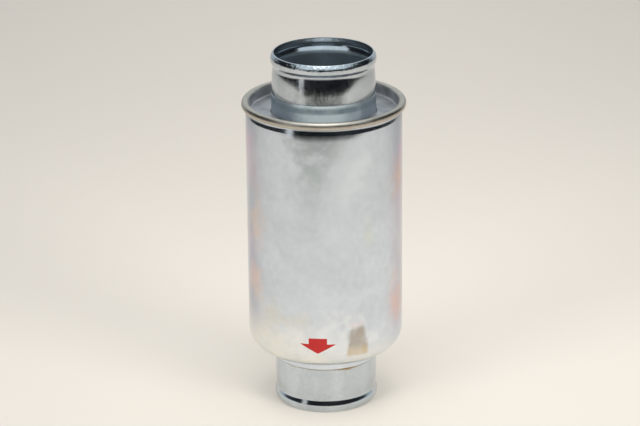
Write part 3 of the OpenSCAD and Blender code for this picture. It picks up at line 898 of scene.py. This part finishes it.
def makeGasket():
    g = gasket
    bm = spinSolid([
        (g["inner"], g["low"], g["soft"]), (g["chamferStart"], g["low"], g["soft"]),
        (g["outer"], g["chamferTop"], g["soft"]), (g["outer"], g["high"], g["soft"]),
        (g["inner"], g["high"], g["soft"])], segments=4)
    return keepPiece(bm, "outletGasket", "element", ["outlet_gasket"], nitrile)


pleats = {
    "count": 36, "tip": 24.3, "root": 15.4, "tipWidth": 0.95, "rootWidth": 0.32, "paper": 0.38,
    "foldShare": 0.45, "low": 24.82, "high": 97.2, "levels": 28, "legLength": 4, "legCuts": 3, "waver": 0.16,
}


def makePleats():
    p = pleats
    bm = bmesh.new()
    loop = []
    for i in range(2 * p["count"]):
        radius, width = (p["tip"], p["tipWidth"]) if i % 2 == 0 else (p["root"], p["rootWidth"])
        for side in (-1, 1):
            turn = math.pi * i / p["count"] + side * width / 2 / radius
            loop.append(bm.verts.new((radius * mm * math.cos(turn), radius * mm * math.sin(turn),
                                      p["low"] * mm)))
    for first, second in zip(loop, loop[1:] + loop[:1]):
        bm.edges.new((first, second))
    for radius, width in ((p["tip"], p["tipWidth"]), (p["root"], p["rootWidth"])):   # the folds are rounded
        fold = [v for v in bm.verts if abs(v.co.xy.length - radius * mm) < 1e-6]
        roundOff(bm, fold, width * p["foldShare"], 3)
    legs = [e for e in bm.edges if e.calc_length() > p["legLength"] * mm]
    bmesh.ops.subdivide_edges(bm, edges=legs, cuts=p["legCuts"])
    front = bm.edges[:]
    for _ in range(p["levels"]):
        front, moved = pullEdges(bm, front, (0, 0, (p["high"] - p["low"]) / p["levels"] * mm))
    for vert in bm.verts:   # paper never folds quite straight
        across = Vector((-vert.co.y, vert.co.x, 0)).normalized()
        vert.co += across * noise.noise(vert.co * 110) * p["waver"] * mm
    bmesh.ops.recalc_face_normals(bm, faces=bm.faces)
    turnFaces(bm, p["tip"], 60, 1, 0)
    thicken(bm, p["paper"])
    return keepPiece(bm, "pleatedPaper", "element", ["pleated_media"], filterPaper)


clip = {
    "root": 20.4, "tip": 25.0, "rootHalf": 1.4, "tipHalf": 1.0, "low": 27.02, "high": 95.0, "sheet": 0.4,
    "corner": 0.45, "levels": 68, "crimpEvery": 8, "crimp": 0.16,
}


def makeClip():
    c = clip
    bm = bmesh.new()
    corners = [(c["root"], -c["rootHalf"]), (c["tip"], -c["tipHalf"]), (c["tip"], c["tipHalf"]),
               (c["root"], c["rootHalf"])]
    verts = [bm.verts.new((x * mm, y * mm, c["low"] * mm)) for x, y in corners]
    for first, second in zip(verts, verts[1:]):
        bm.edges.new((first, second))
    roundOff(bm, verts[1:3], c["corner"], 5)
    front = bm.edges[:]
    crimped = c["crimpEvery"] // 2
    for i in range(c["levels"]):
        front, moved = pullEdges(bm, front, (0, 0, (c["high"] - c["low"]) / c["levels"] * mm))
        # crimped on to the paper at one level, and back out at the next
        inward = {crimped: -1, crimped + 1: 1}.get(i % c["crimpEvery"])
        if inward:
            for vert in moved:
                vert.co.y += inward * math.copysign(c["crimp"] * mm, vert.co.y)
    bmesh.ops.recalc_face_normals(bm, faces=bm.faces)
    turnFaces(bm, c["tip"], 60, 1, 0)
    thicken(bm, c["sheet"])
    return keepPiece(bm, "mediaSeamClip", "element", ["media_seam_clip"], tinSheet)


glueBead = {
    "inner": 24.1, "outer": 25.2, "half": 0.8, "innerRounding": 0.3, "outerRounding": 0.5, "steps": 288,
    "sag": 0.4, "lump": 0.12,
}


def makeGlueBeads():
    g = glueBead
    third = (pleats["high"] - pleats["low"]) / 3
    bottom, top = pleats["low"] + third - g["half"], pleats["low"] + third + g["half"]
    bm = spinSolid([
        (g["inner"], bottom, g["innerRounding"]), (g["outer"], bottom, g["outerRounding"]),
        (g["outer"], top, g["outerRounding"]), (g["inner"], top, g["innerRounding"])],
        segments=4, steps=g["steps"])
    copied = bmesh.ops.duplicate(bm, geom=bm.verts[:] + bm.edges[:] + bm.faces[:])["geom"]
    bmesh.ops.translate(bm, verts=[part for part in copied if isinstance(part, bmesh.types.BMVert)],
                        vec=(0, 0, third * mm))
    for vert in bm.verts:   # the bead sinks a little between the pleats
        share = max(0, vert.co.xy.length / mm - g["inner"]) / (g["outer"] - g["inner"])
        dip = (1 - math.cos(math.atan2(vert.co.y, vert.co.x) * pleats["count"])) / 2 * g["sag"]
        lump = (noise.noise(vert.co * 300) - 0.5) * g["lump"]
        vert.co -= Vector((vert.co.x, vert.co.y, 0)).normalized() * (dip - min(0, lump)) * share * mm
    return keepPiece(bm, "pleatBeads", "element", ["pleat_bands"], setAdhesive)


makeSpringSeat()
makeSpring()
makeGuide()
makeInletCap()
makeOutletCap()
makeGasket()
makePleats()
makeClip()
makeGlueBeads()
keptNodes = {"center_tube": tinSheet, "inlet_potting": setAdhesive, "outlet_potting": setAdhesive,
             "seam_compound": seamSealant}
for node, material in keptNodes.items():
    for place in bpy.data.objects[node].material_slots:
        place.material = material
print("inner pieces made")


# metres and degrees; the flags are dark cards in front, with a bright slit between them
studio = {
    "floorRadius": 1.4, "floor": (0.86, 0.825, 0.765), "floorRough": 0.9, "floorSpecular": 0.1,
    "flagRadius": 0.42, "flagHigh": 0.28, "flagReach": 130, "flagSteps": 48,
    "slit": -49, "slitWidth": 11,
    "headSides": (50, 95), "headRise": 0.34,
    "footSides": (30, 84), "footLeft": 0.05, "footRight": 0.062,
    "flagColor": (0.7, 0.85, 1.0), "flagGlow": 0.018, "slitColor": (1.0, 0.98, 0.95), "slitGlow": 0.75,
}


def makeFloor():
    material = bpy.data.materials.new("paleFloor")
    material.use_nodes = True
    shader = material.node_tree.nodes["Principled BSDF"]
    shader.inputs["Base Color"].default_value = (*studio["floor"], 1)
    shader.inputs["Roughness"].default_value = studio["floorRough"]
    shader.inputs["Specular IOR Level"].default_value = studio["floorSpecular"]
    bm = bmesh.new()
    bmesh.ops.create_circle(bm, cap_ends=True, radius=studio["floorRadius"], segments=96)
    meshObject(bm, "floor", material)


def glowMaterial(name, color, strength):
    made = bpy.data.materials.new(name)
    made.use_nodes = True
    tree = made.node_tree
    tree.nodes.remove(tree.nodes["Principled BSDF"])
    glow = addNode(tree, "Emission", {"Color": (*color, 1), "Strength": strength})
    join(tree, glow.outputs[0], tree.nodes["Material Output"].inputs["Surface"])
    return made


def easeBetween(value, start, full):
    share = min(1, max(0, (value - start) / (full - start)))
    return share ** 2 * (3 - 2 * share)


def makeCard(name, start, end, material):
    # upright curved card round the filter, seen only in reflections; foot and head rise towards the sides
    s = studio
    bm = bmesh.new()
    foot = bm.verts.new((0, -s["flagRadius"], 0))
    head = bm.verts.new((0, -s["flagRadius"], s["flagHigh"]))
    bm.edges.new((foot, head))
    bmesh.ops.rotate(bm, verts=bm.verts, cent=(0, 0, 0),
                     matrix=Matrix.Rotation(math.radians(start), 3, "Z"))
    bmesh.ops.spin(bm, geom=bm.verts[:] + bm.edges[:], cent=(0, 0, 0), axis=(0, 0, 1), dvec=(0, 0, 0),
                   angle=math.radians(end - start), steps=s["flagSteps"], use_merge=False, use_duplicate=False)
    for vert in bm.verts:
        turn = math.degrees(math.atan2(vert.co.x, -vert.co.y))
        if vert.co.z > s["flagHigh"] / 2:
            vert.co.z += easeBetween(abs(turn), *s["headSides"]) * s["headRise"]
        else:
            rise = s["footLeft"] if turn < 0 else s["footRight"]
            vert.co.z += easeBetween(abs(turn), *s["footSides"]) * rise
    card = meshObject(bm, name, material)
    card.visible_camera = False
    card.visible_diffuse = False
    card.visible_shadow = False
    card.visible_transmission = False
    card.visible_volume_scatter = False


# metres, watts and degrees
lights = {
    "overhead": {"power": 3.2, "size": (0.55, 1.0), "place": (0.0, -0.3, 1.05), "aim": (0, -0.3, 0),
                 "color": (1, 1, 1), "reflected": True},
    "fillLeft": {"power": 5.5, "size": (0.6, 0.6), "place": (-0.95, -0.9, 0.6), "aim": (0, 0, 0.03),
                 "color": (1, 0.97, 0.91), "reflected": False},
    "fillRight": {"power": 7.0, "size": (0.6, 0.6), "place": (0.95, -0.9, 0.6), "aim": (0, 0, 0.03),
                  "color": (1, 0.96, 0.90), "reflected": False},
    "keySpot": {"power": 20, "opening": 24, "place": (0.12, -0.6, 1.2), "aim": (0.03, 0.08, 0),
                "color": (1, 0.96, 0.90), "reflected": False},
    "backSpot": {"power": 13, "opening": 22, "place": (0.0, -0.4, 1.2), "aim": (0.0, 0.62, 0),
                 "color": (1, 0.96, 0.92), "reflected": False},
}
spotRadius = 0.14


def addLight(name, light):
    data = bpy.data.lights.new(name, "SPOT" if "opening" in light else "AREA")
    data.energy = light["power"]
    data.color = light["color"]
    if "opening" in light:
        data.spot_size = math.radians(light["opening"])
        data.spot_blend = 1.0
        data.shadow_soft_size = spotRadius
        data.use_shadow = False
    else:
        data.shape = "RECTANGLE"
        data.size, data.size_y = light["size"]
    obj = bpy.data.objects.new(name, data)
    bpy.context.collection.objects.link(obj)
    obj.visible_glossy = light["reflected"]
    obj.location = light["place"]
    aim = Vector(light["aim"]) - Vector(light["place"])
    obj.rotation_euler = aim.to_track_quat("-Z", "Y").to_euler()


air = {
    "background": (0.80, 0.765, 0.71), "backgroundStrength": 0.9,
    "lowLight": (1.0, 0.96, 0.90), "highLight": (0.62, 0.62, 0.63), "lightClimb": (0.0, 0.8),
    "lightStrength": 0.62,
    "lowShine": (0.60, 0.66, 0.71), "highShine": (0.86, 0.95, 1.0), "shineClimb": (0.1, 0.5),
    "shineStrength": 0.85,
}


def makeWorld():
    # what the camera sees, what lights the scene, and what the metal reflects
    world = bpy.data.worlds.new("studioAir")
    world.use_nodes = True
    bpy.context.scene.world = world
    tree = world.node_tree
    seen = tree.nodes["Background"]
    seen.inputs["Color"].default_value = (*air["background"], 1)
    seen.inputs["Strength"].default_value = air["backgroundStrength"]
    height = splitPlace(tree, addNode(tree, "TexCoord").outputs["Generated"])["Z"]
    lit = addNode(tree, "Background", {"Strength": air["lightStrength"]})
    climb = remap(tree, height, *air["lightClimb"])
    join(tree, mixColor(tree, climb, air["lowLight"], air["highLight"]), lit.inputs["Color"])
    shine = addNode(tree, "Background", {"Strength": air["shineStrength"]})
    climb = remap(tree, height, *air["shineClimb"])
    join(tree, mixColor(tree, climb, air["lowShine"], air["highShine"]), shine.inputs["Color"])
    ray = addNode(tree, "LightPath")
    source = lit
    for test, other in (("Is Glossy Ray", shine), ("Is Camera Ray", seen)):
        pick = addNode(tree, "MixShader")
        join(tree, ray.outputs[test], pick.inputs[0])
        join(tree, source.outputs[0], pick.inputs[1])
        join(tree, other.outputs[0], pick.inputs[2])
        source = pick
    join(tree, source.outputs[0], tree.nodes["World Output"].inputs["Surface"])


makeFloor()
flagBlack = glowMaterial("flagBlack", studio["flagColor"], studio["flagGlow"])
slitBright = glowMaterial("slitGlow", studio["slitColor"], studio["slitGlow"])
slitStart, slitEnd = (studio["slit"] + side * studio["slitWidth"] / 2 for side in (-1, 1))
makeCard("flagLeft", -studio["flagReach"], slitStart, flagBlack)
makeCard("flagRight", slitEnd, studio["flagReach"], flagBlack)
makeCard("slitStrip", slitStart, slitEnd, slitBright)
makeWorld()
for lightName, light in lights.items():
    addLight(lightName, light)
bpy.context.scene.view_settings.view_transform = "Standard"
print("stage and lights made")
